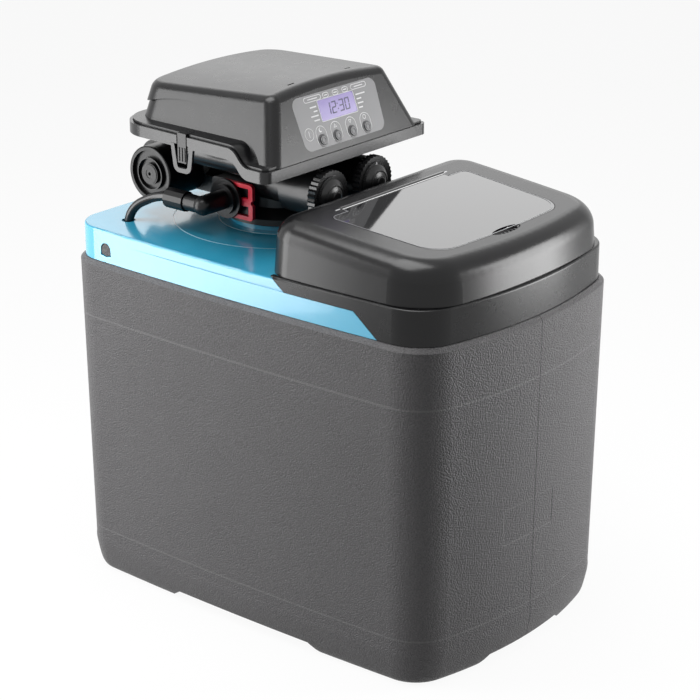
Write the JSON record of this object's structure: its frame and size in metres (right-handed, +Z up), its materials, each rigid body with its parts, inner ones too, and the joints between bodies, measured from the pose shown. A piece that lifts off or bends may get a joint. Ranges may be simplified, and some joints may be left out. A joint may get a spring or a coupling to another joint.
{
  "type": "water softener",
  "caption": "Compact cabinet water softener: grey brine cabinet, gloss salt lid with a flip-up window, bypass valve with front knobs and a control head with a display.",
  "frame": {"origin": "middle of the footprint on the floor", "axes": "+Z up, -Y the front with the display and salt lid, +X to the right of someone who faces the front"},
  "size_m": [0.32, 0.4829, 0.5366],
  "materials": {
    "cabinet_grey": "fine pebble grain",
    "cover_teal": "gloss",
    "gloss_black": "high gloss",
    "smoke_black": "high gloss, dark tint",
    "head_black": "satin",
    "head_grey": "satin",
    "valve_black": "satin",
    "knob_black": "satin",
    "dark_plastic": "satin",
    "white_plastic": "satin",
    "tank_shell": "wound glass fibre under a thin resin coat",
    "resin_beads": "fine beads",
    "seal_rubber": "matt",
    "steel": "plain",
    "gear_plastic": "moulded acetal",
    "clip_red": "semi gloss",
    "tube_black": "semi gloss",
    "label_grey": "printed film",
    "display_lens": "clear lens over a lit display",
    "board_green": "solder resist",
    "button_grey": "satin"
  },
  "bodies": {
    "softener": {"cabinet": "cabinet_grey", "shroud": "cover_teal", "salt_collar": "gloss_black", "resin_tank": "tank_shell", "riser_tube": "white_plastic", "bottom_strainer": "white_plastic", "top_strainer": "white_plastic", "resin_bed": "resin_beads", "brine_well": "white_plastic", "well_cap": "dark_plastic", "safety_valve": "white_plastic", "air_check": "dark_plastic", "salt_grid": "white_plastic", "overflow_fitting": "dark_plastic", "overflow_nut": "dark_plastic", "valve_body": "valve_black", "neck_seal": "seal_rubber", "barrel_end_cap": "valve_black", "cap_screw": "steel", "seal_stack": "white_plastic", "drive_cap": "valve_black", "motor_bracket": "steel", "drive_motor": "steel", "drive_cover": "valve_black", "brine_elbow": "valve_black", "elbow_nut": "valve_black", "drain_elbow": "valve_black", "brine_tube": "tube_black", "turbine_cage": "white_plastic", "head_base": "head_grey", "power_jack": "dark_plastic", "bracket_screws": "steel"},
    "lid": {"salt_lid": "gloss_black", "window_hinge_pin": "steel"},
    "window": {"lid_window": "smoke_black"},
    "head": {"head_cover": "head_black", "control_label": "label_grey", "display_module": "display_lens", "circuit_board": "board_green"},
    "button_1": {"button_1": "button_grey"},
    "button_2": {"button_2": "button_grey"},
    "button_3": {"button_3": "button_grey"},
    "button_4": {"button_4": "button_grey"},
    "left_bypass": {"left_knob": "knob_black", "left_rotor": "white_plastic"},
    "right_bypass": {"right_knob": "knob_black", "right_rotor": "white_plastic"},
    "main_gear": {"main_drive_gear": "gear_plastic"},
    "compound_gear": {"reduction_gear": "gear_plastic"},
    "pinion": {"motor_pinion": "gear_plastic"},
    "piston": {"piston": "white_plastic"},
    "turbine": {"flow_turbine": "gear_plastic"},
    "float": {"brine_float": "white_plastic"},
    "brine_clip": {"brine_clip": "clip_red"},
    "drain_clip": {"drain_clip": "clip_red"}
  },
  "joints": [
    {"name": "lid_lift", "type": "slide", "parent": "softener", "child": "lid", "axis": [0, 0, 1], "range_m": [0, 0.08]},
    {"name": "window_hinge", "type": "hinge", "parent": "lid", "child": "window", "pos_m": [0, -0.06, 0.43525], "axis": [-1, 0, 0], "range_deg": [0, 100]},
    {"name": "head_cover_lift", "type": "slide", "parent": "softener", "child": "head", "axis": [0, 0, 1], "range_m": [0, 0.09]},
    {"name": "button_1_press", "type": "slide", "parent": "head", "child": "button_1", "axis": [0, 0.9348, -0.3551], "range_m": [0, 0.001], "stiffness_N_per_m": 400},
    {"name": "button_2_press", "type": "slide", "parent": "head", "child": "button_2", "axis": [0, 0.9348, -0.3551], "range_m": [0, 0.001], "stiffness_N_per_m": 400},
    {"name": "button_3_press", "type": "slide", "parent": "head", "child": "button_3", "axis": [0, 0.9348, -0.3551], "range_m": [0, 0.001], "stiffness_N_per_m": 400},
    {"name": "button_4_press", "type": "slide", "parent": "head", "child": "button_4", "axis": [0, 0.9348, -0.3551], "range_m": [0, 0.001], "stiffness_N_per_m": 400},
    {"name": "left_knob_turn", "type": "hinge", "parent": "softener", "child": "left_bypass", "pos_m": [-0.034, 0.01, 0.4285], "axis": [0, 1, 0], "range_deg": [0, 90]},
    {"name": "right_knob_turn", "type": "hinge", "parent": "softener", "child": "right_bypass", "pos_m": [0.034, 0.01, 0.4285], "axis": [0, 1, 0], "range_deg": [0, 90]},
    {"name": "main_gear_turn", "type": "hinge", "parent": "softener", "child": "main_gear", "pos_m": [0.0775, 0.18, 0.4285], "axis": [1, 0, 0], "range_deg": [0, 450]},
    {"name": "compound_gear_turn", "type": "hinge", "parent": "softener", "child": "compound_gear", "pos_m": [0.08, 0.16415, 0.46249], "axis": [1, 0, 0], "continuous": true},
    {"name": "pinion_turn", "type": "hinge", "parent": "softener", "child": "pinion", "pos_m": [0.08, 0.16415, 0.48949], "axis": [1, 0, 0], "continuous": true},
    {"name": "piston_stroke", "type": "slide", "parent": "softener", "child": "piston", "axis": [1, 0, 0], "range_m": [0, 0.0251]},
    {"name": "turbine_spin", "type": "hinge", "parent": "softener", "child": "turbine", "pos_m": [0.034, 0.217, 0.4285], "axis": [0, 1, 0], "continuous": true},
    {"name": "float_rise", "type": "slide", "parent": "softener", "child": "float", "axis": [0, 0, 1], "range_m": [0, 0.05]},
    {"name": "brine_clip_pull", "type": "slide", "parent": "softener", "child": "brine_clip", "axis": [0, -1, 0], "range_m": [0, 0.035]},
    {"name": "drain_clip_pull", "type": "slide", "parent": "softener", "child": "drain_clip", "axis": [0, -1, 0], "range_m": [0, 0.035]}
  ],
  "couplings": [
    {"joint": "compound_gear_turn", "follows": "main_gear_turn", "ratio": -4},
    {"joint": "pinion_turn", "follows": "main_gear_turn", "ratio": 10.4},
    {"joint": "piston_stroke", "follows": "main_gear_turn", "m_per_rad": 0.0031831}
  ]
}
